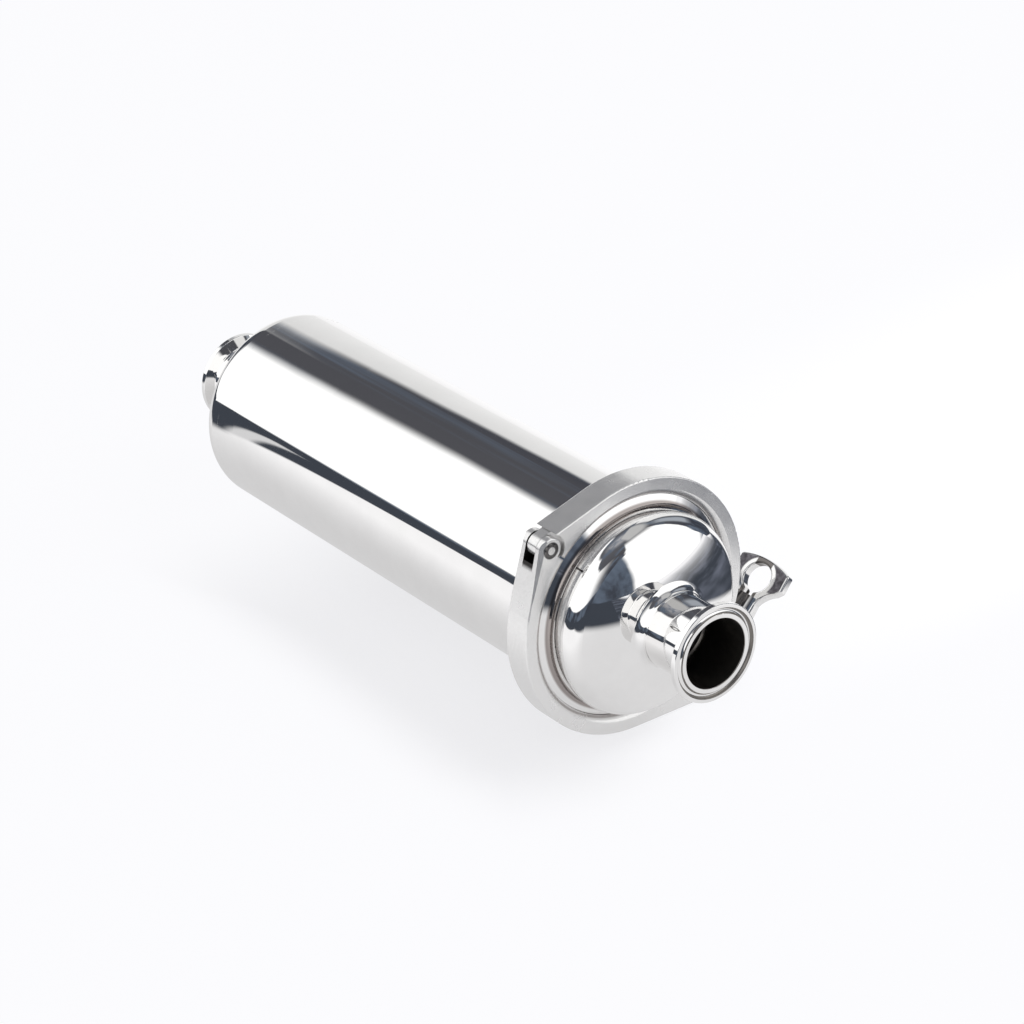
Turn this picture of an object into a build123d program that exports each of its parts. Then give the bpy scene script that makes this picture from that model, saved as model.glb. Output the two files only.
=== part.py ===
from build123d import *
import os
from math import acos, asin, atan2, cos, hypot, pi, radians, sin, sqrt, tan

os.makedirs("parts", exist_ok=True)

# Overall lengths along the line axis, in millimetres.
# The origin is the centre of the inlet face, and the strainer runs from there towards -X.
TOTAL_LENGTH = 401.0
END_TO_RIM = 51.5
SKIRT = 5.0

# Line connections: 1.5 inch hygienic clamp ferrules
LINE_TUBE_R = 19.05
LINE_WALL = 1.2
LINE_FLANGE_STEP = 6.2
LINE_GROOVE_STEP = 2.75
LINE_FERRULE_LENGTH = 28.6

# Clamp flanges, shared by the small and the large ferrules
FLANGE_RIM = 2.85
FLANGE_TAPER = tan(radians(20))
FLANGE_EDGE = 0.4
FACE_GROOVE = 1.6
NECK_FILLET = 1.6

# Housing shell, with dished ends whose crown is as large in radius as the tube is across
SHELL_R = 52.0
SHELL_WALL = 2.0
CROWN_R = 2 * SHELL_R
KNUCKLE_R = SHELL_R / 5
COLLAR_FILLET = 5.5
SEAM = 0.35

# Body joint: flange, gasket and the two large ferrules
BODY_FLANGE_STEP = 7.5
BODY_GROOVE_STEP = 3.25
GASKET = 2.0
CAP_FERRULE_END = 9.75
BODY_FERRULE_END = 12.75
BEAD_CLEARANCE = 0.1

# Clamp ring
CLAMP_WALL = 7.2
CLAMP_WIDTH = 15.5
CLAMP_BITE = 2.3
RIM_CLEARANCE = 0.8
LIP_ROUND = 2.7
LIP_RISE = 3.4
LIP_BULGE = 0.45
CLAMP_EDGE = 0.8
CLAMP_ANGLE = 136.0
HALF_GAP = 0.6
LUG_GAP = 1.5
UPPER_FLANK_GAP = 0.12

# Hinge of the clamp
HINGE_OFFSET = 3.1
HINGE_BOSS_R = 6.1
HINGE_PIN_R = 3.9
KNUCKLE_STEP = 1.8
TONGUE_WIDTH = 6.3
FORK_SLOT = 7.3
FORK_DEPTH = 10.0
BOSS_CLEARANCE = 0.6
STEP_CLEARANCE = 1.9
EAR_FACET = 2.4
EAR_FACET_DEPTH = 1.7
PIN_EDGE = 0.6
PIN_PROUD = 0.4

# Lugs, swing bolt and wing nut
BOLT_OFFSET = 7.8
PIVOT_HEIGHT = 9.0
BOLT_SHANK_R = 4.0
EYE_R = 8.0
EYE_WIDTH = 8.4
PIVOT_PIN_R = 3.0
PIVOT_FIT = 0.05
SLOT_WIDTH = 8.8
SLOT_END = 4.5
LUG_OUT = 8.5
LUG_HEIGHT = 13.0
SEAT_R = 23.0
SEAT_GAP = 0.3
BOLT_LENGTH = 45.0
THREAD_FIT = 0.08
NUT_BASE_R = 8.2
NUT_NECK_R = 7.0
NUT_HUB = 22.0
NUT_POCKET = 0.8
NUT_TURN = 6.5
WING_THICK = 5.8
WING_TOP = 42.4
WING_TIP = (16.0, 39.5)
WING_CORNER = (16.6, 30.8)
WING_HEEL = (14.4, 28.0)
WING_WAIST = (8.9, 23.0)
WING_ROOT = (6.6, 14.0)
WING_CORNER_ROUND = 1.6
WING_EDGE = 1.4
WINDOW_R = 7.7
WINDOW_UP = 31.6
WINDOW_EDGE = 0.9

# Socket at the tail, and the plug that slides into it
SEAT_STEP = 4.45
SEAT_WALL = 5.0
SEAT_DEPTH = 9.5
PLUG_FIT = 0.15
PLUG_LENGTH = 17.0
PLUG_BORE_STEP = 0.65
SEAL_FLOOR = 2.1
SEAL_WIDTH = 3.4

# Strainer element
CORE_STEP = 6.5
CORE_WALL = 1.5
MESH_WALL = 0.6
MESH_FIT = 0.1
BAND_WALL = 0.7
COLLAR_FLANGE = 6.0
SPIGOT = 8.0
CORE_TO_JOINT = 25.75
HOLE_R = 6.0
HOLE_ROWS = 8
HOLES_ROUND = 6
BAND_WIDTH = 8.0
BAND_COUNT = 3
CAP_PLATE = 3.0
CAP_SKIRT = 2.0
GRIP_R = 12.0
GRIP_NECK_R = 7.0
GRIP_LENGTH = 14.0

# Radii and places that follow from the sizes above
JOINT_X = -(END_TO_RIM + SKIRT + CAP_FERRULE_END)
TAIL_RIM_X = -TOTAL_LENGTH + END_TO_RIM
LINE_BORE_R = LINE_TUBE_R - LINE_WALL
LINE_FLANGE_R = LINE_TUBE_R + LINE_FLANGE_STEP
LINE_GROOVE_R = LINE_TUBE_R + LINE_GROOVE_STEP
SHELL_BORE_R = SHELL_R - SHELL_WALL
BODY_FLANGE_R = SHELL_R + BODY_FLANGE_STEP
BODY_GROOVE_R = SHELL_R + BODY_GROOVE_STEP
FACE_X = GASKET / 2
CLAMP_R = BODY_FLANGE_R + CLAMP_WALL
CLAMP_LIP_R = BODY_FLANGE_R - CLAMP_BITE
CLAMP_GROOVE_R = BODY_FLANGE_R + RIM_CLEARANCE
HINGE_R = CLAMP_R + HINGE_OFFSET
TONGUE_R = HINGE_PIN_R + KNUCKLE_STEP
BOLT_R = CLAMP_R + BOLT_OFFSET
SEAT_BORE_R = LINE_TUBE_R + SEAT_STEP
SEAT_OUTER_R = SEAT_BORE_R + SEAT_WALL
SEAT_FRONT = TAIL_RIM_X + SEAT_DEPTH
PLUG_R = SEAT_BORE_R - PLUG_FIT
ELEMENT_BORE_R = LINE_BORE_R + PLUG_BORE_STEP
SEAL_BOTTOM_R = ELEMENT_BORE_R + SEAL_FLOOR
CORE_R = SEAT_BORE_R + CORE_STEP
SPIGOT_R = CORE_R - CORE_WALL
SHOULDER_R = CORE_R + MESH_FIT + MESH_WALL + BAND_WALL
CORE_BACK = SEAT_FRONT + COLLAR_FLANGE
CORE_FRONT = JOINT_X - CORE_TO_JOINT

# Tolerance for picking circular edges by their radius
MATCH = 1e-3


def turned(*edges):
    """Solid of revolution about X from a closed chain of edges in the XY plane."""
    return revolve(make_face(Curve() + list(edges)), Axis.X)


def turned_poly(points):
    return revolve(make_face(Polyline(*points, close=True)), Axis.X)


def circles_of(solid, radius):
    """Circular edges of one radius, in order along X."""
    circles = solid.edges().filter_by(GeomType.CIRCLE)
    return circles.filter_by(lambda edge: abs(edge.radius - radius) < MATCH).sort_by(Axis.X)


def ferrule(flange_r, tube_r, bore_r, length, groove_r):
    """Clamp ferrule with its face at x = 0 and its weld end at x = -length."""
    drop = FLANGE_RIM + (flange_r - tube_r) * FLANGE_TAPER
    body = turned_poly([
        (0, bore_r), (0, flange_r), (-FLANGE_RIM, flange_r), (-drop, tube_r),
        (-length + SEAM, tube_r), (-length, tube_r - SEAM), (-length, bore_r),
    ])
    body = fillet(circles_of(body, tube_r)[-1], NECK_FILLET)
    mouth = circles_of(body, bore_r)[-1]
    body = fillet(circles_of(body, flange_r) + [mouth], FLANGE_EDGE)
    groove = revolve(Pos(0, groove_r) * Circle(FACE_GROOVE), Axis.X)
    return body - groove


def head():
    """Dished end with a drawn collar: rim at x = 0, crown towards +X, ground flush where it meets the shell."""
    lift = sqrt((CROWN_R - KNUCKLE_R) ** 2 - (SHELL_R - KNUCKLE_R) ** 2)
    crown_dir = asin((SHELL_R - KNUCKLE_R) / (CROWN_R - KNUCKLE_R))
    blend_r = LINE_TUBE_R + COLLAR_FILLET
    blend_x = sqrt((CROWN_R + COLLAR_FILLET) ** 2 - blend_r ** 2) - lift
    blend_dir = asin(blend_r / (CROWN_R + COLLAR_FILLET))
    collar_end = END_TO_RIM - LINE_FERRULE_LENGTH

    def outline(inset):
        crown, knuckle, neck = CROWN_R - inset, KNUCKLE_R - inset, COLLAR_FILLET + inset

        def on_crown(angle):
            return (crown * cos(angle) - lift, crown * sin(angle))

        def on_knuckle(angle):
            return (knuckle * sin(angle), SHELL_R - KNUCKLE_R + knuckle * cos(angle))

        def on_neck(angle):
            return (blend_x - neck * cos(angle), blend_r - neck * sin(angle))

        turn = pi / 2 - crown_dir
        return [
            ThreePointArc(on_knuckle(0), on_knuckle(turn / 2), on_knuckle(turn)),
            ThreePointArc(
                on_crown(crown_dir), on_crown((crown_dir + blend_dir) / 2), on_crown(blend_dir),
            ),
            ThreePointArc(on_neck(blend_dir), on_neck((blend_dir + pi / 2) / 2), on_neck(pi / 2)),
        ]

    outer = outline(0)
    inner = outline(SHELL_WALL)
    out_end, in_end = outer[-1] @ 1, inner[-1] @ 1
    rim = Polyline(inner[0] @ 0, (-SKIRT, SHELL_BORE_R), (-SKIRT, SHELL_R), outer[0] @ 0)
    tip = Polyline(
        out_end, (collar_end - SEAM, LINE_TUBE_R), (collar_end, LINE_TUBE_R - SEAM),
        (collar_end, LINE_BORE_R), in_end,
    )
    return turned(rim, *outer, tip, *inner)


def gasket():
    ring = turned_poly([
        (-FACE_X, SHELL_BORE_R), (-FACE_X, BODY_FLANGE_R),
        (FACE_X, BODY_FLANGE_R), (FACE_X, SHELL_BORE_R),
    ])
    bead_r = FACE_GROOVE - BEAD_CLEARANCE
    for side in (-FACE_X, FACE_X):
        ring += revolve(Pos(side, BODY_GROOVE_R) * Circle(bead_r), Axis.X)
    return ring


def housing_tube():
    front = JOINT_X - BODY_FERRULE_END
    back = TAIL_RIM_X + SKIRT
    return turned_poly([
        (front, SHELL_BORE_R), (front, SHELL_R - SEAM), (front - SEAM, SHELL_R),
        (back, SHELL_R), (back, SHELL_BORE_R),
    ])


# Clamp pieces are drawn about the joint centre, with +Y towards the hinge and +Z on the lower half,
# and turned to CLAMP_ANGLE afterwards.
def plate(sketch, width=CLAMP_WIDTH):
    """Flat outline in the YZ plane, thickened evenly to both sides."""
    return extrude(Plane.YZ * sketch, width / 2, both=True)


def half_plane(side, gap):
    """Rectangle that covers everything beyond gap on one side of the split."""
    reach = 2 * BOLT_R
    return Pos(0, side * (reach / 2 + gap)) * Rectangle(2 * reach, reach)


def on_circle(middle, radius, angle):
    """Point of a circle whose centre lies on Y."""
    return (middle + radius * cos(angle), radius * sin(angle))


def hinge_touch(side, boss_r):
    """Ends of the straight line that touches the ring and a round boss at the hinge."""
    turn = side * acos((CLAMP_R - boss_r) / HINGE_R)
    return on_circle(0, CLAMP_R, turn), on_circle(HINGE_R, boss_r, turn)


def hinge_arm(side, boss_r=HINGE_BOSS_R):
    """Sector of the ring that ends in that line."""
    ring_touch, boss_touch = hinge_touch(side, boss_r)
    return make_face(Polyline((0, 0), ring_touch, boss_touch, (HINGE_R, 0), close=True))


def ear_facet(side):
    """Plane of the flat that widens along the outer edge of an ear, from the ring to its boss."""
    ring_touch, boss_touch = hinge_touch(1, HINGE_BOSS_R)
    boss_r = HINGE_BOSS_R - EAR_FACET
    on_face = hinge_touch(1, boss_r)[1]
    face_x = side * CLAMP_WIDTH / 2
    start = Vector(face_x, *ring_touch)
    across = Vector(face_x, *on_face) - Vector(face_x - side * EAR_FACET_DEPTH, *boss_touch)
    normal = across.cross(Vector(face_x, *on_face) - start) * side
    return Plane(start, x_dir=across, z_dir=normal)


def clamp_outline(side, lug):
    """Ring half, hinge arm and lug, without the hinge boss."""
    return (Circle(CLAMP_R) + hinge_arm(side) + lug) & half_plane(side, HALF_GAP)


def flange_room(flank_gap):
    """Opening and groove that the halves close around the two flanges."""
    def flank(r):
        return FACE_X + FLANGE_RIM + (BODY_FLANGE_R - r) * FLANGE_TAPER + flank_gap

    wide = CLAMP_WIDTH / 2
    lip_end = wide - LIP_ROUND
    corner_r = CLAMP_LIP_R + LIP_RISE
    past = wide + 1
    bulge = LIP_BULGE / hypot(LIP_ROUND, LIP_RISE)
    mid = (wide - LIP_ROUND / 2 + bulge * LIP_RISE, CLAMP_LIP_R + LIP_RISE / 2 - bulge * LIP_ROUND)

    def lip(side):
        return ThreePointArc((side * wide, corner_r), (side * mid[0], mid[1]), (side * lip_end, CLAMP_LIP_R))

    right = Polyline((past, 0), (past, corner_r), (wide, corner_r))
    groove = Polyline(
        (lip_end, CLAMP_LIP_R), (flank(CLAMP_LIP_R), CLAMP_LIP_R), (flank(CLAMP_GROOVE_R), CLAMP_GROOVE_R),
        (-flank(CLAMP_GROOVE_R), CLAMP_GROOVE_R), (-flank(CLAMP_LIP_R), CLAMP_LIP_R), (-lip_end, CLAMP_LIP_R),
    )
    left = Polyline((-wide, corner_r), (-past, corner_r), (-past, 0), (past, 0))
    return turned(right, lip(1), groove, lip(-1), left)


def soften(solid, axis, radius):
    """Round the edges of both flat faces that look along axis."""
    faces = solid.faces().filter_by(axis)
    return fillet([edge for face in faces for edge in face.edges()], radius)


def clamp_lower_half():
    lug_back = -(BOLT_R + LUG_OUT)
    corner = (-BOLT_R, LUG_HEIGHT + LUG_OUT)
    touch = atan2(corner[1], corner[0]) - acos(CLAMP_R / hypot(*corner))
    lug = make_face(Polyline(
        (0, LUG_GAP), (lug_back, LUG_GAP), (lug_back, LUG_HEIGHT), corner, on_circle(0, CLAMP_R, touch),
        close=True,
    ))
    boss = Pos(HINGE_R, 0) * Circle(HINGE_BOSS_R)
    body = soften(plate(clamp_outline(1, lug) + boss), Axis.X, CLAMP_EDGE)
    for side in (-1, 1):
        body = split(body, bisect_by=ear_facet(side), keep=Keep.BOTTOM)
    fork_inner = HINGE_R - HINGE_BOSS_R - BOSS_CLEARANCE
    fork = Pos(fork_inner + HINGE_R, FORK_DEPTH - HINGE_R) * Rectangle(2 * HINGE_R, 2 * HINGE_R)
    body -= plate(fork, FORK_SLOT)
    eye_inner = -BOLT_R + LUG_OUT
    eye_slot = Pos(eye_inner - BOLT_R, 0) * Rectangle(2 * BOLT_R, 4 * BOLT_R)
    body -= plate(eye_slot, SLOT_WIDTH)
    body -= plate(Pos(HINGE_R, 0) * Circle(HINGE_PIN_R), 2 * CLAMP_WIDTH)
    body -= plate(Pos(-BOLT_R, PIVOT_HEIGHT) * Circle(PIVOT_PIN_R), 2 * CLAMP_WIDTH)
    return body - flange_room(0)


def clamp_upper_half():
    lug_back = -(BOLT_R + LUG_OUT)
    seat_end = PIVOT_HEIGHT - sqrt(SEAT_R ** 2 - LUG_OUT ** 2)
    seat_top = PIVOT_HEIGHT - SEAT_R
    inner = -BOLT_R + LUG_OUT
    lug = make_face(
        Curve() + [
            Polyline((0, seat_end), (0, -LUG_GAP), (lug_back, -LUG_GAP), (lug_back, seat_end)),
            ThreePointArc((lug_back, seat_end), (-BOLT_R, seat_top), (inner, seat_end)),
            Line((inner, seat_end), (0, seat_end)),
        ]
    )
    body = soften(plate(clamp_outline(-1, lug)), Axis.X, CLAMP_EDGE)
    knuckle = Pos(HINGE_R, 0) * Circle(TONGUE_R)
    body -= plate(Pos(HINGE_R, 0) * Circle(HINGE_BOSS_R + STEP_CLEARANCE), 2 * CLAMP_WIDTH)
    web = (hinge_arm(-1, TONGUE_R) - Circle(CLAMP_GROOVE_R)) & half_plane(-1, HALF_GAP)
    body += plate(knuckle + web, TONGUE_WIDTH)
    body -= plate(Pos(HINGE_R, 0) * Circle(HINGE_PIN_R), 2 * CLAMP_WIDTH)
    slot_end = -BOLT_R + SLOT_END
    slot = Pos(slot_end - SLOT_WIDTH / 2 - BOLT_R, 0) * Rectangle(2 * BOLT_R, 4 * BOLT_R)
    body -= plate(slot, SLOT_WIDTH)
    body -= Pos(0, -BOLT_R, -BOLT_R) * Cylinder(SLOT_WIDTH / 2, 2 * BOLT_R)
    body -= Pos(0, -BOLT_R, seat_top - BOLT_R / 2) * Cylinder(NUT_BASE_R + NUT_POCKET, BOLT_R)
    return body - flange_room(UPPER_FLANK_GAP)


def pin(radius):
    """Headless pin along X with broken edges, a little proud of the clamp at both ends."""
    rod = Rot(0, 90, 0) * Cylinder(radius, CLAMP_WIDTH + 2 * PIN_PROUD)
    return chamfer(rod.edges().filter_by(GeomType.CIRCLE), PIN_EDGE)


def swing_bolt():
    """Eye bolt about its pivot, with the shank towards -Z."""
    eye = plate(Circle(EYE_R), EYE_WIDTH)
    shank = Pos(0, 0, -BOLT_LENGTH / 2) * Cylinder(BOLT_SHANK_R, BOLT_LENGTH)
    tip = shank.faces().sort_by(Axis.Z)[0].edges()
    shank = chamfer(tip, PIN_EDGE)
    return eye + shank - plate(Circle(PIVOT_PIN_R + PIVOT_FIT), 2 * EYE_WIDTH)


def wing_nut():
    """Wing nut with its seat face at z = 0 and its wing towards +Z, flat in the XZ plane."""
    hub = revolve(Plane.XZ * make_face(Polyline(
        (0, 0), (NUT_BASE_R, 0), (NUT_BASE_R, NUT_BASE_R / 2), (NUT_NECK_R, NUT_HUB), (0, NUT_HUB),
        close=True,
    )), Axis.Z)

    def left(point):
        return (-point[0], point[1])

    outline = make_face(
        Curve() + [
            Line(left(WING_ROOT), WING_ROOT),
            ThreePointArc(WING_ROOT, WING_WAIST, WING_HEEL),
            Polyline(WING_HEEL, WING_CORNER, WING_TIP),
            ThreePointArc(WING_TIP, (0, WING_TOP), left(WING_TIP)),
            Polyline(left(WING_TIP), left(WING_CORNER), left(WING_HEEL)),
            ThreePointArc(left(WING_HEEL), left(WING_WAIST), left(WING_ROOT)),
        ]
    )
    outline = fillet(outline.vertices().filter_by(lambda v: v.Y > WING_WAIST[1]), WING_CORNER_ROUND)
    wing = extrude(Plane.XZ * outline, WING_THICK / 2, both=True)
    wing = soften(wing, Axis.Y, WING_EDGE)
    window = Pos(0, 0, WINDOW_UP) * Rot(90, 0, 0) * Cylinder(WINDOW_R, 2 * WING_THICK)
    wing -= window
    wing = fillet(circles_of(wing, WINDOW_R), WINDOW_EDGE)
    nut = hub + wing
    return nut - window - Cylinder(BOLT_SHANK_R + THREAD_FIT, 2 * WINDOW_UP)


# Strainer element: it slides into the seat at the tail and carries its mesh up to the joint.
def outlet_seat():
    """Socket ring whose back follows the inside of the tail crown."""
    lift = sqrt((CROWN_R - KNUCKLE_R) ** 2 - (SHELL_R - KNUCKLE_R) ** 2)
    crown = CROWN_R - SHELL_WALL

    def on_crown(r):
        return (TAIL_RIM_X + lift - sqrt(crown ** 2 - r ** 2), r)

    mid_r = (SEAT_BORE_R + SEAT_OUTER_R) / 2
    ring = turned(
        ThreePointArc(on_crown(SEAT_BORE_R), on_crown(mid_r), on_crown(SEAT_OUTER_R)),
        Polyline(on_crown(SEAT_OUTER_R), (SEAT_FRONT, SEAT_OUTER_R), (SEAT_FRONT, SEAT_BORE_R),
                 on_crown(SEAT_BORE_R)),
    )
    mouth = ring.edges().filter_by(GeomType.CIRCLE).sort_by(Axis.X)[-2:]
    return chamfer(mouth, FLANGE_EDGE)


def element_collar():
    """Plug, stop flange and spigot, turned in one piece."""
    back = SEAT_FRONT - PLUG_LENGTH
    groove_mid = back + PLUG_LENGTH / 2
    groove = SEAL_WIDTH / 2
    return turned_poly([
        (back, ELEMENT_BORE_R), (back, PLUG_R), (groove_mid - groove, PLUG_R),
        (groove_mid - groove, SEAL_BOTTOM_R), (groove_mid + groove, SEAL_BOTTOM_R),
        (groove_mid + groove, PLUG_R), (SEAT_FRONT, PLUG_R), (SEAT_FRONT, SHOULDER_R),
        (CORE_BACK, SHOULDER_R), (CORE_BACK, SPIGOT_R), (CORE_BACK + SPIGOT, SPIGOT_R),
        (CORE_BACK + SPIGOT, SPIGOT_R - CAP_SKIRT), (SEAT_FRONT, ELEMENT_BORE_R),
    ])


def element_seal():
    """Ring of round cord, pressed flat where it meets the groove and the seat."""
    cord = SEAT_BORE_R - SEAL_BOTTOM_R
    middle = SEAT_FRONT - PLUG_LENGTH / 2
    section = RectangleRounded(cord, cord, cord / 2 - FLANGE_EDGE)
    return revolve(Pos(middle, SEAL_BOTTOM_R + cord / 2) * section, Axis.X)


def element_core():
    """Perforated tube with staggered rows of holes."""
    tube = turned_poly([
        (CORE_BACK, SPIGOT_R), (CORE_BACK, CORE_R), (CORE_FRONT, CORE_R), (CORE_FRONT, SPIGOT_R),
    ])
    pitch = (CORE_FRONT - CORE_BACK) / (HOLE_ROWS + 1)
    step = 360 / HOLES_ROUND
    holes = []
    for row in range(HOLE_ROWS):
        x = CORE_BACK + (row + 1) * pitch
        for k in range(HOLES_ROUND):
            turn = (k + row % 2 / 2) * step
            drill = Pos(0, 0, CORE_R) * Cylinder(HOLE_R, 4 * CORE_WALL)
            holes.append(Pos(x, 0, 0) * Rot(turn, 0, 0) * drill)
    return tube - holes


def element_mesh():
    inner = CORE_R + MESH_FIT
    outer = inner + MESH_WALL
    return turned_poly([(CORE_BACK, inner), (CORE_BACK, outer), (CORE_FRONT, outer), (CORE_FRONT, inner)])


def element_bands():
    """Flat bands that hold the mesh at both ends and in the middle."""
    inner = SHOULDER_R - BAND_WALL
    step = (CORE_FRONT - CORE_BACK - BAND_WIDTH) / (BAND_COUNT - 1)
    bands = []
    for k in range(BAND_COUNT):
        start = CORE_BACK + k * step
        end = start + BAND_WIDTH
        bands.append(turned_poly([(start, inner), (start, SHOULDER_R), (end, SHOULDER_R), (end, inner)]))
    return Compound(children=bands)


def element_end_cap():
    """Closed end with a turned grip, so that the element can be drawn out through the joint."""
    front = CORE_FRONT + CAP_PLATE
    half = GRIP_LENGTH / 2
    cap = turned_poly([
        (CORE_FRONT, 0), (CORE_FRONT, SPIGOT_R - CAP_SKIRT), (CORE_FRONT - SPIGOT, SPIGOT_R - CAP_SKIRT),
        (CORE_FRONT - SPIGOT, SPIGOT_R), (CORE_FRONT, SPIGOT_R), (CORE_FRONT, SHOULDER_R),
        (front, SHOULDER_R), (front, GRIP_NECK_R), (front + half, GRIP_NECK_R), (front + half, GRIP_R),
        (front + GRIP_LENGTH, GRIP_R), (front + GRIP_LENGTH, 0),
    ])
    return fillet(circles_of(cap, GRIP_R), 2 * FLANGE_EDGE)


at_joint = Pos(JOINT_X, 0, 0) * Rot(CLAMP_ANGLE, 0, 0)
at_pivot = at_joint * Pos(0, -BOLT_R, PIVOT_HEIGHT)
at_seat = at_pivot * Pos(0, 0, -SEAT_R - SEAT_GAP) * Rot(0, 0, -NUT_TURN) * Rot(180, 0, 0)
mirrored = Rot(0, 0, 180)

line_ferrule = ferrule(LINE_FLANGE_R, LINE_TUBE_R, LINE_BORE_R, LINE_FERRULE_LENGTH, LINE_GROOVE_R)
cap_ferrule = ferrule(BODY_FLANGE_R, SHELL_R, SHELL_BORE_R, CAP_FERRULE_END - FACE_X, BODY_GROOVE_R)
body_ferrule = ferrule(BODY_FLANGE_R, SHELL_R, SHELL_BORE_R, BODY_FERRULE_END - FACE_X, BODY_GROOVE_R)
dished_end = head()

pieces = {
    "inlet_ferrule": line_ferrule,
    "cap_dished_end": Pos(-END_TO_RIM, 0, 0) * dished_end,
    "cap_clamp_ferrule": Pos(JOINT_X + FACE_X, 0, 0) * mirrored * cap_ferrule,
    "joint_gasket": Pos(JOINT_X, 0, 0) * gasket(),
    "housing_clamp_ferrule": Pos(JOINT_X - FACE_X, 0, 0) * body_ferrule,
    "housing_tube": housing_tube(),
    "tail_dished_end": Pos(TAIL_RIM_X, 0, 0) * mirrored * dished_end,
    "outlet_ferrule": Pos(-TOTAL_LENGTH, 0, 0) * mirrored * line_ferrule,
    "outlet_seat": outlet_seat(),
    "element_collar": element_collar(),
    "element_seal": element_seal(),
    "element_core": element_core(),
    "element_mesh": element_mesh(),
    "element_bands": element_bands(),
    "element_end_cap": element_end_cap(),
    "clamp_lower_half": at_joint * clamp_lower_half(),
    "clamp_upper_half": at_joint * clamp_upper_half(),
    "hinge_pin": at_joint * Pos(0, HINGE_R, 0) * pin(HINGE_PIN_R),
    "bolt_pivot_pin": at_pivot * pin(PIVOT_PIN_R),
    "swing_bolt": at_pivot * swing_bolt(),
    "wing_nut": at_seat * wing_nut(),
}

for name, piece in pieces.items():
    export_step(piece, f"parts/{name}.step")
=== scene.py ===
"""Inline strainer: finishes for its pieces, and a small pale studio with its camera."""

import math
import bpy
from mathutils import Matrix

bl_info = {
    "name": "Inline strainer",
    "version": (1, 0, 0),
    "blender": (4, 5, 0),
    "location": "View3D > Sidebar > Strainer",
    "description": "Dresses a polished inline strainer and sets it on a pale studio floor",
    "category": "Object",
}

from collections import namedtuple

import bmesh
import bpy
from bpy.props import FloatProperty, FloatVectorProperty, PointerProperty
from bpy.types import Operator, Panel, PropertyGroup
from mathutils import Matrix, Vector

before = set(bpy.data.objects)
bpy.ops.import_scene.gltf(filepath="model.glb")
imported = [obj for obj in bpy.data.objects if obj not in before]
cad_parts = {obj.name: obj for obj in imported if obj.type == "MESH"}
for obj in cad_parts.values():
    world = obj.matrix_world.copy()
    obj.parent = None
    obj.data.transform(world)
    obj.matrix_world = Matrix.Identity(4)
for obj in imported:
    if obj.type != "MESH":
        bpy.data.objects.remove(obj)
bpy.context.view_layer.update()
MM = 0.001

# Which nodes get which finish
POLISHED_NODES = (
    "inlet_ferrule", "cap_dished_end", "cap_clamp_ferrule", "housing_clamp_ferrule",
    "housing_tube", "tail_dished_end", "outlet_ferrule", "outlet_seat",
)
TURNED_NODES = (
    "hinge_pin", "bolt_pivot_pin", "swing_bolt", "element_collar", "element_core",
    "element_bands", "element_end_cap",
)
RUBBER_NODES = ("joint_gasket", "element_seal")

# Places in the shared frame: the middle of the clamped joint, the hinge pin's axis, and the window of the
# wing nut with the wing's width, height and face directions
JOINT_X = -66.25 * MM
PIN_AXIS = (0.0, -50.21 * MM, 48.49 * MM)
WINDOW_CENTRE = (-66.25 * MM, 85.48 * MM, -18.73 * MM)
WING_WIDE = (0.99356, 0.08143, -0.07864)
WING_UP = (0.0, 0.69466, 0.71934)
WING_FACE = (0.1132, -0.7147, 0.6902)

# Where a finish, painted shade or painted reflection fades in, as the places at which it is absent and full.
# BY_JOINT is measured from the middle of the joint, BY_PIN from the hinge pin's axis, BY_WINDOW from the
# window's centre and BY_AXIS from the line.
CORNER_BY_JOINT, CORNER_BY_AXIS = (10.5 * MM, 8.5 * MM), (54.6 * MM, 53.6 * MM)
GROOVE_BY_JOINT = (5.2 * MM, 4.8 * MM)
SLOT_BY_JOINT, SLOT_BY_PIN = (3.8 * MM, 3.7 * MM), (13.5 * MM, 11.5 * MM)
RING_BY_JOINT, RING_BY_PIN = (7.0 * MM, 7.3 * MM), (4.5 * MM, 4.1 * MM)
SHOULDER_BY_PIN, HINGE_PIN_ONLY = (1.8 * MM, 2.2 * MM), (6.5 * MM, 6.0 * MM)
DARK_REFLECTION_BY_WINDOW, DARK_REFLECTION_FOOT = (10.0 * MM, 11.0 * MM), (-5.0 * MM, -3.5 * MM)
UNEVEN_TAIL = (-270.0 * MM, -330.0 * MM)

# The element's weave: its pitch along the axis, and its wires round it
WEAVE_PITCH, WEAVE_WIRES = 0.5 * MM, 380.0

# Painted shade and painted reflections: dark colours put where the metal lies in shade, in hollows, gaps and
# bores, or mirrors dark things
NECK_SHADE = (0.28, 0.24, 0.225, 1.0)
BORE_SHADE = (0.24, 0.225, 0.21, 1.0)
GROOVE_SHADE = (0.16, 0.15, 0.145, 1.0)
FORK_SHADE = (0.035, 0.032, 0.032, 1.0)
PIN_END_SHADE = (0.06, 0.056, 0.056, 1.0)
WING_DARK_REFLECTION = (0.085, 0.08, 0.09, 1.0)
WING_PALE_REFLECTION = (0.20, 0.19, 0.21, 1.0)

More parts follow.
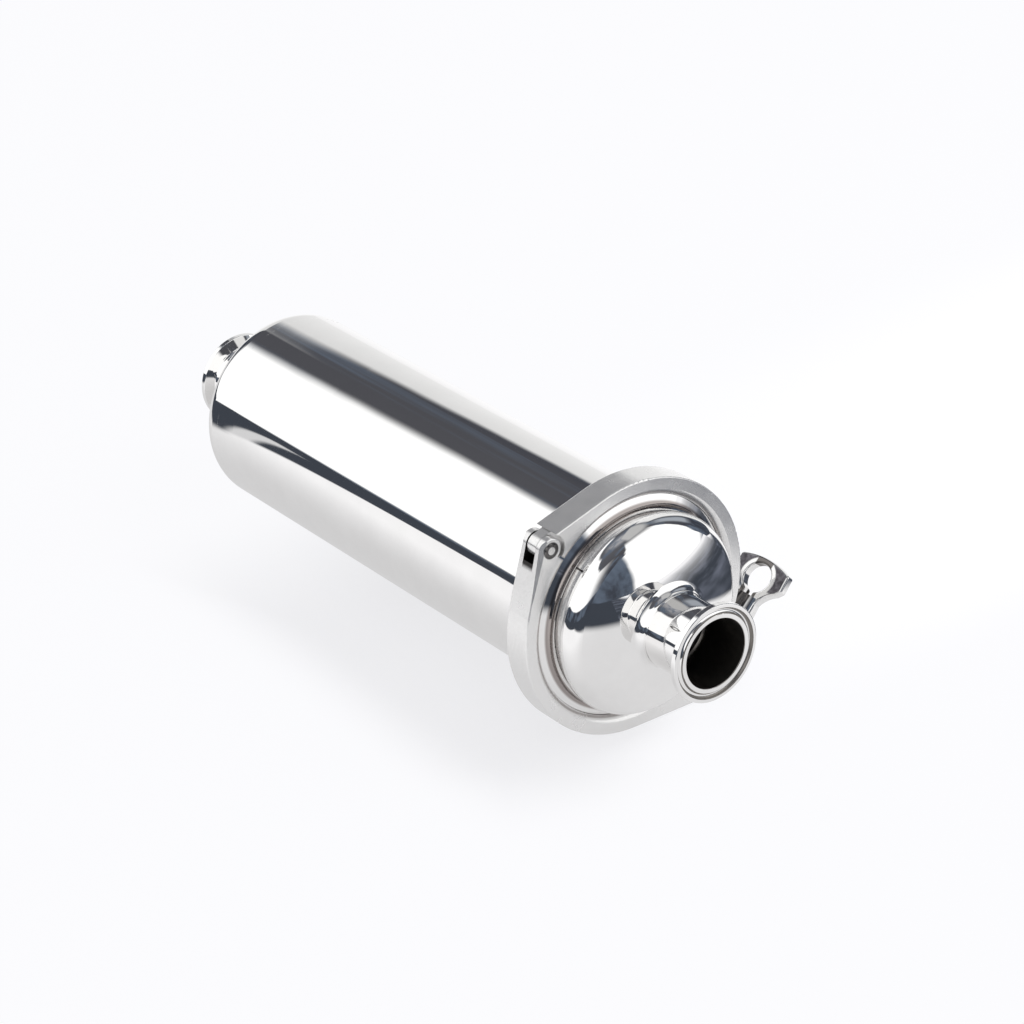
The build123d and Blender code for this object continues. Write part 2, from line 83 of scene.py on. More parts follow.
# Lights seen only in reflections, in degrees: bearings from and to, heights from and to, and the soft widths
# of those four edges. Bearing 0 is along +X and 90 along +Y, and heights are measured from the floor. An
# edge given as (a, b, at_a, at_b) slides from at_a to at_b while the other angle goes from a to b. Levels
# are the brightness at heights of -20 and 22 degrees.
Card = namedtuple("Card", "bearings heights softs levels tint")
WHITE = (1.0, 1.0, 1.0)
REFLECTED_CARDS = (
    Card(  # broad window on the near side, mirrored along the tube and on the cap
        bearings=((36.5, 40.5, -178.5, -184.0), -3.0),
        heights=((-140.0, -112.0, -1.9, 8.0), (-75.0, -38.0, 65.0, 44.0)),
        softs=(12.0, 38.0, 1.5, 5.0), levels=(1.2, 1.2), tint=WHITE),
    Card(  # window beyond the inlet, which makes the cap's bright patch
        bearings=((15.0, 60.0, 12.0, 3.0), 65.0), heights=(-3.0, 64.0),
        softs=(3.0, 4.0, 2.0, 19.0), levels=(1.2, 1.2), tint=WHITE),
    Card(  # dim ceiling over the back
        bearings=(8.0, 150.0), heights=(56.0, 120.0),
        softs=(14.0, 10.0, 10.0, 1.0), levels=(0.52, 0.52), tint=WHITE),
    Card(  # cool patch on the right of the cap
        bearings=(74.0, 106.0), heights=(14.0, 60.0),
        softs=(10.0, 10.0, 10.0, 16.0), levels=(0.42, 0.42), tint=(0.9, 0.97, 1.08)),
    Card(  # back wall beside the clamp
        bearings=(106.0, 141.0), heights=(-16.0, 60.0),
        softs=(6.0, 4.0, 3.0, 8.0), levels=(0.92, 0.88), tint=WHITE),
    Card(  # back wall along the tube, whose slanting top makes the upper edge of the dark band
        bearings=(129.0, 167.0), heights=(-45.0, (130.0, 166.0, 17.3, 35.9)),
        softs=(3.0, 2.0, 2.0, 3.2), levels=(0.98, 0.76), tint=WHITE),
)
LEVEL_HEIGHTS = (-20.0, 22.0)
BEARING_SEAM = 10.0
HEIGHT_SHIFT, BEARING_SHIFT = 3.0, 7.0

# The dark room between the cards: place from the floor up, and colour
ROOM_HEIGHTS = (-20.0, 90.0)
ROOM_STOPS = (
    (0.0, (0.052, 0.06, 0.076)), (0.3, (0.045, 0.05, 0.066)), (0.5, (0.078, 0.079, 0.09)),
    (0.8, (0.11, 0.112, 0.125)), (0.92, (0.40, 0.40, 0.42)), (1.0, (0.58, 0.58, 0.6)),
)
ROOM_CLOUD = (0.12, 0.15, 0.20, 1.0)
EVEN_SKY = (0.68, 0.68, 0.69, 1.0)

# The shadow under the strainer as the camera sees it: where it ends at the near side, the inlet and the tail,
# in metres on the floor, and how much of the plain background shows inside and outside it
SHADOW_NEAR, SHADOW_INLET, SHADOW_TAIL = (-0.07, -0.12), (-0.07, 0.0), (-0.22, -0.36)
PLAIN_SHARES = (0.68, 0.97)

# The pale board under the strainer as the metal mirrors it: where its edges fade, in metres on the floor, its
# shade aside of the tube and the share of its own light. The tail edge is measured along -x + TAIL_SLANT * y.
TAIL_EDGE, TAIL_SLANT, TAIL_SIDE = (0.392, 0.412), 0.43, (-0.17, -0.12)
INLET_EDGE = (0.2, 0.32)
NEAR_EDGE = (-0.66, -0.58)
BACK_EDGE, BACK_START = (0.155, 0.175), (-0.13, -0.09)
BOARD_ASIDE, BOARD_SHADES, BOARD_SHARE = (0.05, 0.22), (0.68, 1.0), 0.8
BOARD_COLOR = (1.02, 1.015, 1.02, 1.0)

# Past the board it is dark, but for a narrow pale strip at the near side, measured across as y - x, and a far
# glow behind the inlet
STRIP_STARTS, STRIP_STOPS = (0.286, 0.298), (0.312, 0.324)
STRIP_TAIL, STRIP_SIDE = (-0.95, -0.8), -0.15
GLOW_OUT, GLOW_INLET, GLOW_BACK = (0.4, 2.1), (0.05, 0.3), (0.15, 0.35)
PAST_BOARD = (0.05, 0.058, 0.074, 1.0)
PAST_CLOUD = (0.15, 0.165, 0.21, 1.0)
FAR_GLOW = (1.0, 1.0, 1.02, 1.0)
STRIP_COLOR = (0.7, 0.7, 0.71, 1.0)

# Name, direction from the strainer, distance, diameter and watts of each soft lamp
LAMPS = (
    ("key", (0.35, 0.8, 1.0), 1.6, 1.0, 11.0),
    ("fill", (0.7, 0.8, 0.9), 1.6, 1.0, 5.0),
)
LAMP_TARGET = (-0.2, 0.0, 0.0)

# The camera fitted to the photo: its place, its right, up and backward directions, and its lens in mm
CAMERA_PLACE = (1.04469, -0.89550, 0.79884)
CAMERA_AXES = ((0.61075, 0.79122, -0.03094), (-0.35125, 0.30575, 0.88495), (0.70965, -0.52961, 0.46465))
CAMERA_LENS, CAMERA_SENSOR, CAMERA_CLIP = 119.45, 36.0, (0.05, 20.0)


# Sizes and colours a user may change
class FinishSettings(PropertyGroup):
    steel_color: FloatVectorProperty(
        name="Steel colour", description="Colour of the polished and the cast stainless steel",
        subtype="COLOR", size=3, min=0, max=1, default=(0.93, 0.924, 0.916))
    polish_roughness: FloatProperty(
        name="Polish roughness", description="Roughness of the mirror polished shell",
        min=0, max=1, default=0.03)
    cast_roughness: FloatProperty(
        name="Casting roughness", description="Roughness of the tumbled castings",
        min=0, max=1, default=0.24)
    turned_roughness: FloatProperty(
        name="Turned roughness", description="Roughness of turned and drilled pieces",
        min=0, max=1, default=0.2)
    rubber_color: FloatVectorProperty(
        name="Rubber colour", description="Colour of the gasket and the element's seal",
        subtype="COLOR", size=3, min=0, max=1, default=(0.03, 0.03, 0.032))


class StudioSettings(PropertyGroup):
    floor_tilt: FloatProperty(
        name="Floor tilt", description="Slope of the floor that the clamp and the tail rest on",
        subtype="ANGLE", default=math.radians(3.05))
    floor_drop: FloatProperty(
        name="Floor drop", description="Distance from the line axis to the floor at the inlet face",
        subtype="DISTANCE", unit="LENGTH", default=70.55 * MM)
    floor_size: FloatProperty(
        name="Floor size", description="Length of each side of the floor",
        subtype="DISTANCE", unit="LENGTH", default=6.0)
    floor_color: FloatVectorProperty(
        name="Floor colour", description="Colour of the floor and of what shows behind it",
        subtype="COLOR", size=3, min=0, max=1, default=(0.972, 0.972, 0.992))


def finish_settings():
    return bpy.context.scene.strainer_finish


def studio_settings():
    return bpy.context.scene.strainer_studio


# Node helpers
class Nodes:
    """Short hand for adding linked nodes to one tree."""

    def __init__(self, tree):
        self.tree = tree
        tree.nodes.clear()

    def add(self, kind, inputs=None, **settings):
        node = self.tree.nodes.new(kind)
        for key, value in settings.items():
            setattr(node, key, value)
        for key, value in (inputs or {}).items():
            self.plug(node.inputs[key], value)
        return node

    def plug(self, socket, value):
        if isinstance(value, bpy.types.NodeSocket):
            self.tree.links.new(value, socket)
        elif isinstance(value, bpy.types.Node):
            self.tree.links.new(value.outputs[0], socket)
        else:
            socket.default_value = value

    def math(self, operation, *values):
        return self.add("ShaderNodeMath", dict(enumerate(values)), operation=operation).outputs[0]

    def product(self, first, *others):
        for other in others:
            first = self.math("MULTIPLY", first, other)
        return first

    def largest(self, first, *others):
        for other in others:
            first = self.math("MAXIMUM", first, other)
        return first

    def hypotenuse(self, first, second):
        return self.math("SQRT", self.math("ADD", self.product(first, first), self.product(second, second)))

    def vector(self, operation, *values):
        return self.add("ShaderNodeVectorMath", dict(enumerate(values)), operation=operation)

    def dot(self, first, second):
        return self.vector("DOT_PRODUCT", first, second).outputs["Value"]

    def parts(self, vector):
        return self.add("ShaderNodeSeparateXYZ", {"Vector": vector}).outputs

    def noise(self, vector, scale, detail=2.0, roughness=0.5):
        inputs = {"Vector": vector, "Scale": scale, "Detail": detail, "Roughness": roughness}
        return self.add("ShaderNodeTexNoise", inputs).outputs["Fac"]

    def ramp(self, value, low, high, to_low=0.0, to_high=1.0, kind="LINEAR"):
        inputs = {"Value": value, "From Min": low, "From Max": high, "To Min": to_low, "To Max": to_high}
        return self.add("ShaderNodeMapRange", inputs, interpolation_type=kind).outputs[0]

    def soft_ramp(self, value, low, high, to_low=0.0, to_high=1.0):
        return self.ramp(value, low, high, to_low, to_high, "SMOOTHSTEP")

    def mix(self, factor, first, second):
        node = self.add("ShaderNodeMix", data_type="RGBA")
        self.plug(node.inputs["Factor"], factor)
        self.plug(node.inputs["A"], first)
        self.plug(node.inputs["B"], second)
        return node.outputs["Result"]

    def bump(self, height, strength, distance, normal=None):
        inputs = {"Strength": strength, "Distance": distance, "Height": height}
        if normal is not None:
            inputs["Normal"] = normal
        return self.add("ShaderNodeBump", inputs)

    def glow(self, color):
        return self.add("ShaderNodeEmission", {"Color": color, "Strength": 1.0})

    def blend(self, factor, first, second):
        return self.add("ShaderNodeMixShader", {0: factor, 1: first, 2: second})


def rgba(color, factor=1.0):
    return (color[0] * factor, color[1] * factor, color[2] * factor, 1.0)


def new_material(name):
    material = bpy.data.materials.new(name)
    material.use_nodes = True
    return material, Nodes(material.node_tree)


def finish(nodes, **inputs):
    """Close a tree with one surface. Underscores in the names of its inputs stand for spaces."""
    shader = nodes.add("ShaderNodeBsdfPrincipled", {
        key.replace("_", " "): value for key, value in inputs.items()})
    nodes.add("ShaderNodeOutputMaterial", {"Surface": shader})


def turned_coordinates(nodes):
    """Place along the axis, distance from it and angle round it, from Object coordinates."""
    place = nodes.add("ShaderNodeTexCoord").outputs["Object"]
    x, y, z = nodes.parts(place)
    return place, x, nodes.hypotenuse(y, z), nodes.math("ARCTAN2", z, y)


def lathe_lines(nodes, x, radius, angle, density, turn):
    """Coordinates whose noise runs in fine lines round the axis."""
    return nodes.add("ShaderNodeCombineXYZ", {
        "X": nodes.product(x, density), "Y": nodes.product(radius, density), "Z": nodes.product(angle, turn)})


def joint_distance(nodes, x):
    """Distance along the axis from the middle of the clamped joint."""
    return nodes.math("ABSOLUTE", nodes.math("SUBTRACT", x, JOINT_X))


def pin_distance(nodes, y, z):
    """Distance from the axis of the hinge pin."""
    flat = nodes.add("ShaderNodeCombineXYZ", {"X": 0.0, "Y": y, "Z": z})
    return nodes.vector("DISTANCE", flat, PIN_AXIS).outputs["Value"]


def facing_inwards(nodes):
    """1 on surfaces that look towards the line axis, such as bores, and 0 elsewhere."""
    coordinates = nodes.add("ShaderNodeTexCoord")
    across = nodes.vector("MULTIPLY", coordinates.outputs["Object"], (0.0, 1.0, 1.0))
    outward = nodes.vector("NORMALIZE", across)
    return nodes.ramp(nodes.dot(coordinates.outputs["Normal"], outward), -0.15, -0.35)


def fork_shade_mask(nodes, x, y, z):
    """1 inside the clamp's fork, and in a thin ring round the ends of its pin, where shade is painted."""
    from_pin = pin_distance(nodes, y, z)
    from_joint = joint_distance(nodes, x)
    slot = nodes.product(nodes.ramp(from_joint, *SLOT_BY_JOINT), nodes.ramp(from_pin, *SLOT_BY_PIN))
    ring = nodes.product(nodes.ramp(from_joint, *RING_BY_JOINT), nodes.ramp(from_pin, *RING_BY_PIN, 0.0, 0.8))
    return nodes.largest(slot, ring)


def wing_reflection_mask(nodes):
    """1 in the two corners of the wing beside its window, on both faces, where dark reflections are painted.
    """
    coordinates = nodes.add("ShaderNodeTexCoord")
    place = nodes.vector("SUBTRACT", coordinates.outputs["Object"], WINDOW_CENTRE)
    wide, up = nodes.dot(place, WING_WIDE), nodes.dot(place, WING_UP)
    face = nodes.math("ABSOLUTE", nodes.dot(coordinates.outputs["Normal"], WING_FACE))
    return nodes.product(
        nodes.soft_ramp(nodes.hypotenuse(wide, up), *DARK_REFLECTION_BY_WINDOW),
        nodes.soft_ramp(up, *DARK_REFLECTION_FOOT),
        nodes.ramp(face, 0.9, 0.97))


# Finishes
def polished_steel():
    """Mirror polish with fine lines round the axis, soft waviness and faint haze."""
    settings = finish_settings()
    steel, roughness = settings.steel_color, settings.polish_roughness
    material, nodes = new_material("polished_steel")
    place, x, radius, angle = turned_coordinates(nodes)
    lines = nodes.noise(lathe_lines(nodes, x, radius, angle, 9000.0, 3.0), 0.35, 4.0, 0.7)
    haze = nodes.noise(place, 55.0, 6.0, 0.65)
    wave = nodes.noise(place, 14.0, 1.0, 0.4)
    grain = nodes.noise(place, 900.0, 3.0, 0.6)
    rough = nodes.ramp(nodes.product(haze, lines), 0.12, 0.5, roughness * 0.5, roughness * 2.2)
    tint = nodes.mix(nodes.ramp(haze, 0.35, 0.75), rgba(steel), rgba(steel, 0.96))
    # The corner beside the clamp is painted with a brownish shade, the inside is painted darker as shade and
    # is left rougher
    beside = nodes.product(
        nodes.soft_ramp(joint_distance(nodes, x), *CORNER_BY_JOINT, 0.0, 0.85),
        nodes.ramp(radius, *CORNER_BY_AXIS))
    inside = facing_inwards(nodes)
    tint = nodes.mix(inside, nodes.mix(beside, tint, NECK_SHADE), BORE_SHADE)
    rough = nodes.math("ADD", rough, nodes.product(inside, 0.3))
    # The far end of the tube is a little more uneven
    uneven = nodes.ramp(x, *UNEVEN_TAIL, 1.0, 2.2)
    fine = nodes.bump(lines, 0.012, 0.01 * MM)
    soft = nodes.bump(nodes.product(wave, uneven), 0.3, 0.4 * MM, fine)
    skin = nodes.bump(grain, 0.012, 0.01 * MM, soft)
    finish(nodes, Base_Color=tint, Metallic=1.0, Roughness=rough, Normal=skin)
    return material


def cast_steel(name, roughness, metallic, waviness, forked=False, winged=False):
    """Tumbled casting: fine grain, and softly rubbed patches."""
    steel = finish_settings().steel_color
    material, nodes = new_material(name)
    place = nodes.add("ShaderNodeTexCoord").outputs["Object"]
    x, y, z = nodes.parts(place)
    grain = nodes.noise(place, 2600.0, 3.0, 0.65)
    patches = nodes.noise(place, 90.0, 4.0, 0.6)
    waves = nodes.noise(place, 70.0, 1.0, 0.4)
    rough = nodes.ramp(patches, 0.3, 0.7, roughness * 0.85, roughness * 1.2)
    tint = nodes.mix(nodes.ramp(grain, 0.38, 0.62), rgba(steel, 0.84), rgba(steel))
    # Painted shade in the clamp's inner groove beside the joint
    inner_groove_shade = nodes.product(facing_inwards(nodes), nodes.ramp(joint_distance(nodes, x), *GROOVE_BY_JOINT))
    tint = nodes.mix(inner_groove_shade, tint, GROOVE_SHADE)
    if forked:
        # Painted shade in the fork's slot and in a thin ring round the ends of the hinge pin
        tint = nodes.mix(fork_shade_mask(nodes, x, y, z), tint, FORK_SHADE)
    if winged:
        # Painted dark reflections, mottled with paler ones, in the corners of the wing, which are also rougher
        wing_reflection = wing_reflection_mask(nodes)
        mottling = nodes.ramp(nodes.noise(place, 420.0, 3.0, 0.6), 0.35, 0.65)
        tint = nodes.mix(wing_reflection, tint, nodes.mix(mottling, WING_DARK_REFLECTION, WING_PALE_REFLECTION))
        rough = nodes.math("ADD", rough, nodes.product(wing_reflection, 0.3))
    low = nodes.bump(waves, waviness, 0.6 * MM)
    high = nodes.bump(grain, 0.1, 0.02 * MM, low)
    finish(nodes, Base_Color=tint, Metallic=metallic, Roughness=rough, Normal=high)
    return material


def turned_steel():
    """Fine lathe lines on pins, bolt and element."""
    settings = finish_settings()
    steel, roughness = settings.steel_color, settings.turned_roughness
    material, nodes = new_material("turned_steel")
    place, x, radius, angle = turned_coordinates(nodes)
    lines = nodes.noise(lathe_lines(nodes, x, radius, angle, 6000.0, 2.0), 0.5, 3.0, 0.6)
    stain = nodes.noise(place, 90.0, 3.0, 0.5)
    rough = nodes.ramp(stain, 0.3, 0.7, roughness * 0.7, roughness * 1.3)
    tint = nodes.mix(nodes.ramp(lines, 0.35, 0.65), rgba(steel, 0.82), rgba(steel, 0.96))
    # Painted shade: a dark ring round each end of the hinge pin, which stays bright only in the middle
    from_pin = pin_distance(nodes, *nodes.parts(place)[1:3])
    pin_end_ring = nodes.product(
        nodes.ramp(from_pin, *SHOULDER_BY_PIN, 0.0, 0.9), nodes.ramp(from_pin, *HINGE_PIN_ONLY))
    tint = nodes.mix(pin_end_ring, tint, PIN_END_SHADE)
    finish(nodes, Base_Color=tint, Metallic=1.0, Roughness=rough, Normal=nodes.bump(lines, 0.3, 0.04 * MM))
    return material


def woven_mesh():
    """Fine plain weave wrapped round the element."""
    steel = finish_settings().steel_color
    material, nodes = new_material("woven_mesh")
    place, x, _, angle = turned_coordinates(nodes)
    warp = nodes.math("SINE", nodes.product(x, 2 * math.pi / WEAVE_PITCH))
    weft = nodes.math("SINE", nodes.product(angle, WEAVE_WIRES))
    height = nodes.math("ADD", nodes.math("ABSOLUTE", warp), nodes.math("ABSOLUTE", weft))
    dust = nodes.noise(place, 300.0, 3.0, 0.5)
    # Painted shade: the weave is darker where it lies low, between the wires
    tint = nodes.mix(nodes.ramp(height, 0.4, 1.6), rgba(steel, 0.25), rgba(steel, 0.8))
    finish(
        nodes, Base_Color=tint, Metallic=1.0, Roughness=nodes.ramp(dust, 0.3, 0.7, 0.3, 0.45),
        Normal=nodes.bump(height, 0.8, 0.1 * MM))
    return material


def black_rubber():
    """Moulded rubber with a faint grey bloom."""
    rubber = finish_settings().rubber_color
    material, nodes = new_material("black_rubber")
    place = nodes.add("ShaderNodeTexCoord").outputs["Object"]
    bloom = nodes.noise(place, 140.0, 4.0, 0.6)
    grain = nodes.noise(place, 2200.0, 2.0, 0.5)
    finish(
        nodes, Base_Color=nodes.mix(nodes.ramp(bloom, 0.35, 0.8), rgba(rubber), rgba(rubber, 2.2)),
        Roughness=nodes.ramp(bloom, 0.3, 0.7, 0.45, 0.6), Normal=nodes.bump(grain, 0.3, 0.05 * MM))
    return material


def dress(names, material):
    for name in names:
        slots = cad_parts[name].data.materials
        slots.clear()
        slots.append(material)


# Operators
class STRAINER_OT_polished_shell(Operator):
    """Give the welded shell its mirror polish"""
    bl_idname = "strainer.polished_shell"
    bl_label = "Polished shell"

    def execute(self, context):
        dress(POLISHED_NODES, polished_steel())
        return {"FINISHED"}


class STRAINER_OT_castings(Operator):
    """Give the clamp halves and the wing nut their tumbled cast finish"""
    bl_idname = "strainer.castings"
    bl_label = "Castings"

    def execute(self, context):
        roughness = finish_settings().cast_roughness
        dress(("clamp_lower_half",), cast_steel("forked_casting", roughness, 0.78, 0.15, forked=True))
        dress(("clamp_upper_half",), cast_steel("cast_steel", roughness, 0.78, 0.15))
        dress(("wing_nut",), cast_steel("polished_casting", roughness / 3, 1.0, 0.6, winged=True))
        return {"FINISHED"}


class STRAINER_OT_turned_pieces(Operator):
    """Give the pins, the bolt and the element their turned finish, and the mesh its weave"""
    bl_idname = "strainer.turned_pieces"
    bl_label = "Turned pieces and element"

    def execute(self, context):
        dress(TURNED_NODES, turned_steel())
        dress(("element_mesh",), woven_mesh())
        return {"FINISHED"}


class STRAINER_OT_rubber(Operator):
    """Give the gasket and the seal their rubber"""
    bl_idname = "strainer.rubber"
    bl_label = "Rubber rings"

    def execute(self, context):
        dress(RUBBER_NODES, black_rubber())
        return {"FINISHED"}


# Stage
def seen_floor(nodes, x, y, lit):
    """The floor as the camera sees it: lit under the strainer, plain background colour around it."""
    plain = nodes.glow(rgba(studio_settings().floor_color))
    outside = nodes.largest(
        nodes.soft_ramp(y, *SHADOW_NEAR), nodes.soft_ramp(x, *SHADOW_INLET), nodes.soft_ramp(x, *SHADOW_TAIL))
    return nodes.blend(nodes.ramp(outside, 0.0, 1.0, *PLAIN_SHARES), lit, plain)


def past_board(nodes, place, x, y):
    """What the metal mirrors past the board: dark, cloudy behind, and far off paler behind the inlet."""
    across = nodes.math("SUBTRACT", y, x)
    strip = nodes.product(
        nodes.soft_ramp(across, *STRIP_STARTS), nodes.soft_ramp(across, *STRIP_STOPS, 1.0, 0.0),
        nodes.soft_ramp(x, *STRIP_TAIL), nodes.math("LESS_THAN", y, STRIP_SIDE))
    far_out = nodes.vector("LENGTH", place).outputs["Value"]
    pale = nodes.product(
        nodes.ramp(far_out, *GLOW_OUT), nodes.soft_ramp(x, *GLOW_INLET), nodes.soft_ramp(y, *GLOW_BACK))
    cloudy = nodes.product(
        nodes.soft_ramp(nodes.noise(place, 5.0, 3.0, 0.6), 0.42, 0.66), nodes.math("GREATER_THAN", y, 0.0))
    color = nodes.mix(cloudy, PAST_BOARD, PAST_CLOUD)
    color = nodes.mix(pale, color, FAR_GLOW)
    return nodes.glow(nodes.mix(strip, color, STRIP_COLOR))


def board_ends(nodes, x, y):
    """0 on the board and 1 past any of its edges."""
    tail = nodes.math("ADD", nodes.product(x, -1.0), nodes.product(y, TAIL_SLANT))
    past_tail = nodes.product(nodes.soft_ramp(tail, *TAIL_EDGE), nodes.soft_ramp(y, *TAIL_SIDE, 1.0, 0.0))
    past_inlet = nodes.soft_ramp(x, *INLET_EDGE)
    past_near = nodes.soft_ramp(y, *NEAR_EDGE, 1.0, 0.0)
    past_back = nodes.product(nodes.soft_ramp(y, *BACK_EDGE), nodes.soft_ramp(x, *BACK_START))
    return nodes.largest(past_tail, past_inlet, past_near, past_back)


def floor_material():
    """Pale floor to the camera, and to the metal a pale board with dark surroundings."""
    material, nodes = new_material("floor")
    place = nodes.add("ShaderNodeTexCoord").outputs["Object"]
    x, y = nodes.parts(place)[:2]
    lit = nodes.add("ShaderNodeBsdfDiffuse", {"Color": rgba(studio_settings().floor_color, 0.95)})
    seen = seen_floor(nodes, x, y, lit)
    # The board is darker close by the tube, a painted shadow of the strainer
    aside = nodes.soft_ramp(nodes.math("ABSOLUTE", y), *BOARD_ASIDE, *BOARD_SHADES)
    board = nodes.glow(nodes.mix(aside, (0.0, 0.0, 0.0, 1.0), BOARD_COLOR))
    mirrored = nodes.blend(
        board_ends(nodes, x, y), nodes.blend(BOARD_SHARE, lit, board), past_board(nodes, place, x, y))
    path = nodes.add("ShaderNodeLightPath")
    above = nodes.blend(path.outputs["Is Glossy Ray"], seen, mirrored)
    # From below the floor lets everything through
    surface = nodes.blend(
        nodes.add("ShaderNodeNewGeometry").outputs["Backfacing"], above,
        nodes.add("ShaderNodeBsdfTransparent"))
    nodes.add("ShaderNodeOutputMaterial", {"Surface": surface})
    return material


def turned_view(nodes, vector, axis, angle):
    return nodes.add("ShaderNodeVectorRotate", {
        "Vector": vector, "Axis": axis, "Angle": angle}, rotation_type="AXIS_ANGLE")


def reflected_angles(nodes, level):
    """Height above the floor and bearing of a direction in degrees, both made a little uneven."""
    shift = nodes.math("SUBTRACT", nodes.noise(level, 2.6, 3.0, 0.55), 0.5)
    height = nodes.math("DEGREES", nodes.math("ARCSINE", nodes.parts(level)[2]))
    height = nodes.math("ADD", height, nodes.product(shift, HEIGHT_SHIFT))
    # Bearings run from -190 to 170 degrees, so that their seam lies in no card
    turned = nodes.parts(turned_view(nodes, level, (0.0, 0.0, 1.0), math.radians(BEARING_SEAM)))
    bearing = nodes.math("DEGREES", nodes.math("ARCTAN2", turned[1], turned[0]))
    bearing = nodes.math("SUBTRACT", bearing, BEARING_SEAM)
    return height, nodes.math("ADD", bearing, nodes.product(shift, BEARING_SHIFT))


def dark_room(nodes, level, height):
    """Dark walls that pale towards the ceiling, with soft bluish clouds."""
    room = nodes.add("ShaderNodeValToRGB", {"Fac": nodes.ramp(height, *ROOM_HEIGHTS)})
    elements = room.color_ramp.elements
    while len(elements) < len(ROOM_STOPS):
        elements.new(0.5)
    for element, (position, color) in zip(elements, ROOM_STOPS):
        element.position = position
        element.color = rgba(color)
    clouds = nodes.soft_ramp(nodes.noise(level, 3.4, 5.0, 0.6), 0.45, 0.68)
    return nodes.mix(clouds, room.outputs[0], ROOM_CLOUD)


def card_edge(nodes, value, place, other, soft, rising):
    """One soft edge of a card, whose place is a number or slides with the other angle."""
    width = soft if rising else -soft
    if isinstance(place, tuple):
        place = nodes.ramp(other, *place)
        return nodes.soft_ramp(value, place, nodes.math("ADD", place, width))
    return nodes.soft_ramp(value, place, place + width)


def studio_world():
    """White to the camera, an even sky to the floor, and dark walls with light cards to the metal."""
    settings = studio_settings()
    world = bpy.data.worlds.new("studio")
    world.use_nodes = True
    bpy.context.scene.world = world
    nodes = Nodes(world.node_tree)
    view = nodes.add("ShaderNodeTexCoord").outputs["Generated"]
    level = turned_view(nodes, view, (0.0, 1.0, 0.0), -settings.floor_tilt).outputs[0]
    height, bearing = reflected_angles(nodes, level)
    color = dark_room(nodes, level, height)
    for card in REFLECTED_CARDS:
        inside = nodes.product(
            card_edge(nodes, bearing, card.bearings[0], height, card.softs[0], True),
            card_edge(nodes, bearing, card.bearings[1], height, card.softs[1], False),
            card_edge(nodes, height, card.heights[0], bearing, card.softs[2], True),
            card_edge(nodes, height, card.heights[1], bearing, card.softs[3], False))
        brightness = nodes.ramp(height, *LEVEL_HEIGHTS, *card.levels)
        channels = [nodes.product(brightness, part) for part in card.tint]
        shine = nodes.add("ShaderNodeCombineColor", dict(zip(("Red", "Green", "Blue"), channels)))
        color = nodes.mix(inside, color, shine.outputs[0])
    path = nodes.add("ShaderNodeLightPath")
    even = nodes.mix(path.outputs["Is Glossy Ray"], EVEN_SKY, color)
    final = nodes.mix(path.outputs["Is Camera Ray"], even, rgba(settings.floor_color))
    nodes.add("ShaderNodeOutputWorld", {
        "Surface": nodes.add("ShaderNodeBackground", {"Color": final, "Strength": 1.0})})


def add_object(context, name, data):
    obj = bpy.data.objects.new(name, data)
    context.scene.collection.objects.link(obj)
    return obj


def lay_floor(context):
    settings = studio_settings()
    grid = bmesh.new()
    bmesh.ops.create_grid(grid, x_segments=1, y_segments=1, size=settings.floor_size / 2)
    mesh = bpy.data.meshes.new("floor")
    grid.to_mesh(mesh)
    grid.free()
    floor = add_object(context, "floor", mesh)
    slope = Matrix.Rotation(settings.floor_tilt, 4, "Y")
    floor.matrix_world = slope @ Matrix.Translation((0.0, 0.0, -settings.floor_drop))
    mesh.materials.append(floor_material())


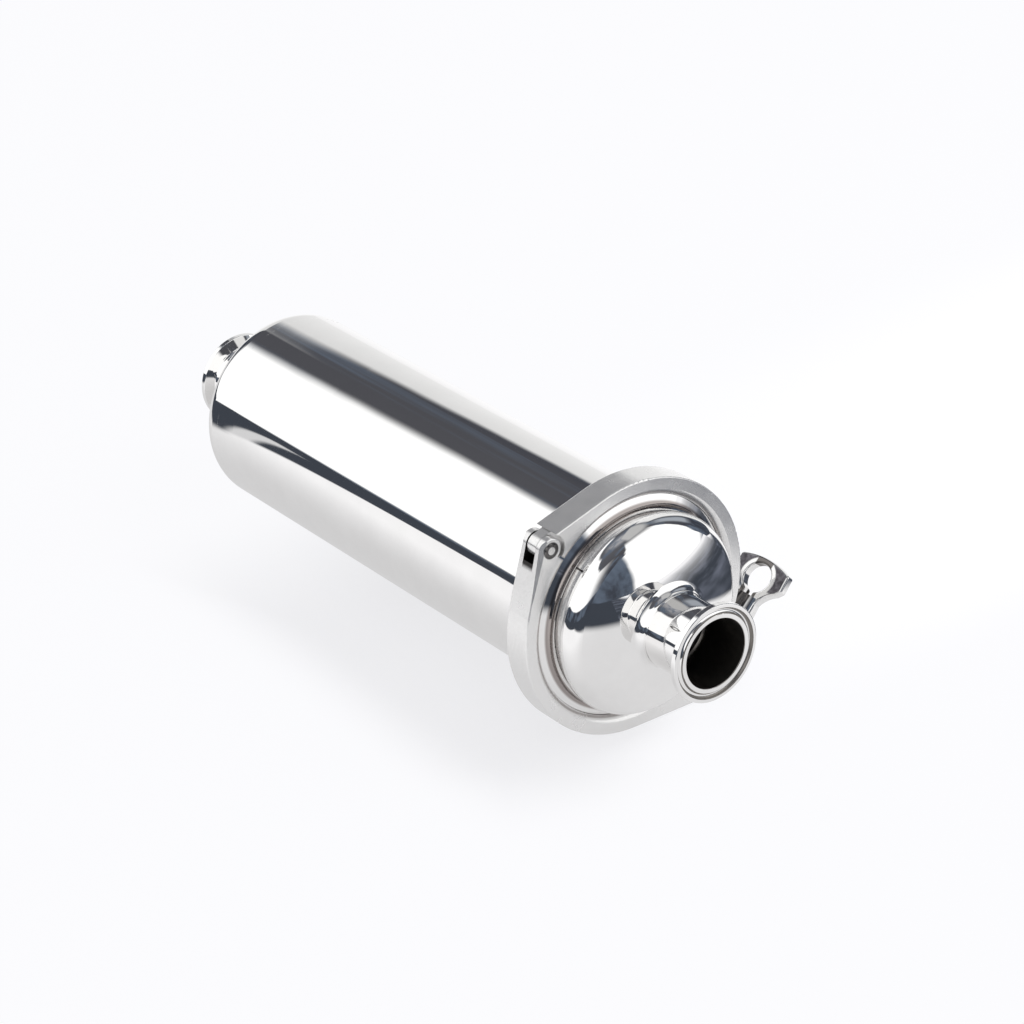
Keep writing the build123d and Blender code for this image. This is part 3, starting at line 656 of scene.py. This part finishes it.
def soft_lamp(context, name, direction, distance, size, watts):
    """Area lamp aimed at the strainer and hidden from its reflections."""
    lamp = bpy.data.lights.new(name, "AREA")
    lamp.shape = "DISK"
    lamp.size = size
    lamp.energy = watts
    obj = add_object(context, name, lamp)
    toward = Vector(direction).normalized()
    obj.location = Vector(LAMP_TARGET) + toward * distance
    obj.rotation_mode = "QUATERNION"
    obj.rotation_quaternion = toward.to_track_quat("Z", "Y")
    obj.visible_glossy = False


def set_camera(context):
    camera = bpy.data.cameras.new("camera")
    camera.sensor_width = CAMERA_SENSOR
    camera.lens = CAMERA_LENS
    camera.clip_start, camera.clip_end = CAMERA_CLIP
    eye = add_object(context, "camera", camera)
    turn = Matrix(CAMERA_AXES).transposed()
    eye.matrix_world = Matrix.Translation(CAMERA_PLACE) @ turn.to_4x4()
    context.scene.camera = eye


class STRAINER_OT_stage(Operator):
    """Lay the floor, light the studio and set the camera"""
    bl_idname = "strainer.stage"
    bl_label = "Stage and camera"

    def execute(self, context):
        lay_floor(context)
        studio_world()
        for lamp in LAMPS:
            soft_lamp(context, *lamp)
        set_camera(context)
        context.scene.view_settings.view_transform = "Standard"
        return {"FINISHED"}


OPERATORS = (
    STRAINER_OT_polished_shell, STRAINER_OT_castings, STRAINER_OT_turned_pieces,
    STRAINER_OT_rubber, STRAINER_OT_stage,
)


class STRAINER_PT_panel(Panel):
    """Sizes, colours and build steps of the strainer"""
    bl_idname = "STRAINER_PT_panel"
    bl_label = "Inline strainer"
    bl_space_type = "VIEW_3D"
    bl_region_type = "UI"
    bl_category = "Strainer"

    def draw(self, context):
        layout = self.layout
        for settings in (finish_settings(), studio_settings()):
            for name in settings.__annotations__:
                layout.prop(settings, name)
        for operator in OPERATORS:
            layout.operator(operator.bl_idname)


CLASSES = (FinishSettings, StudioSettings) + OPERATORS + (STRAINER_PT_panel,)


def register():
    for cls in CLASSES:
        bpy.utils.register_class(cls)
    bpy.types.Scene.strainer_finish = PointerProperty(type=FinishSettings)
    bpy.types.Scene.strainer_studio = PointerProperty(type=StudioSettings)


def unregister():
    del bpy.types.Scene.strainer_studio
    del bpy.types.Scene.strainer_finish
    for cls in reversed(CLASSES):
        bpy.utils.unregister_class(cls)


def main():
    register()
    bpy.ops.strainer.polished_shell()
    bpy.ops.strainer.castings()
    bpy.ops.strainer.turned_pieces()
    bpy.ops.strainer.rubber()
    bpy.ops.strainer.stage()


if __name__ == "__main__":
    main()
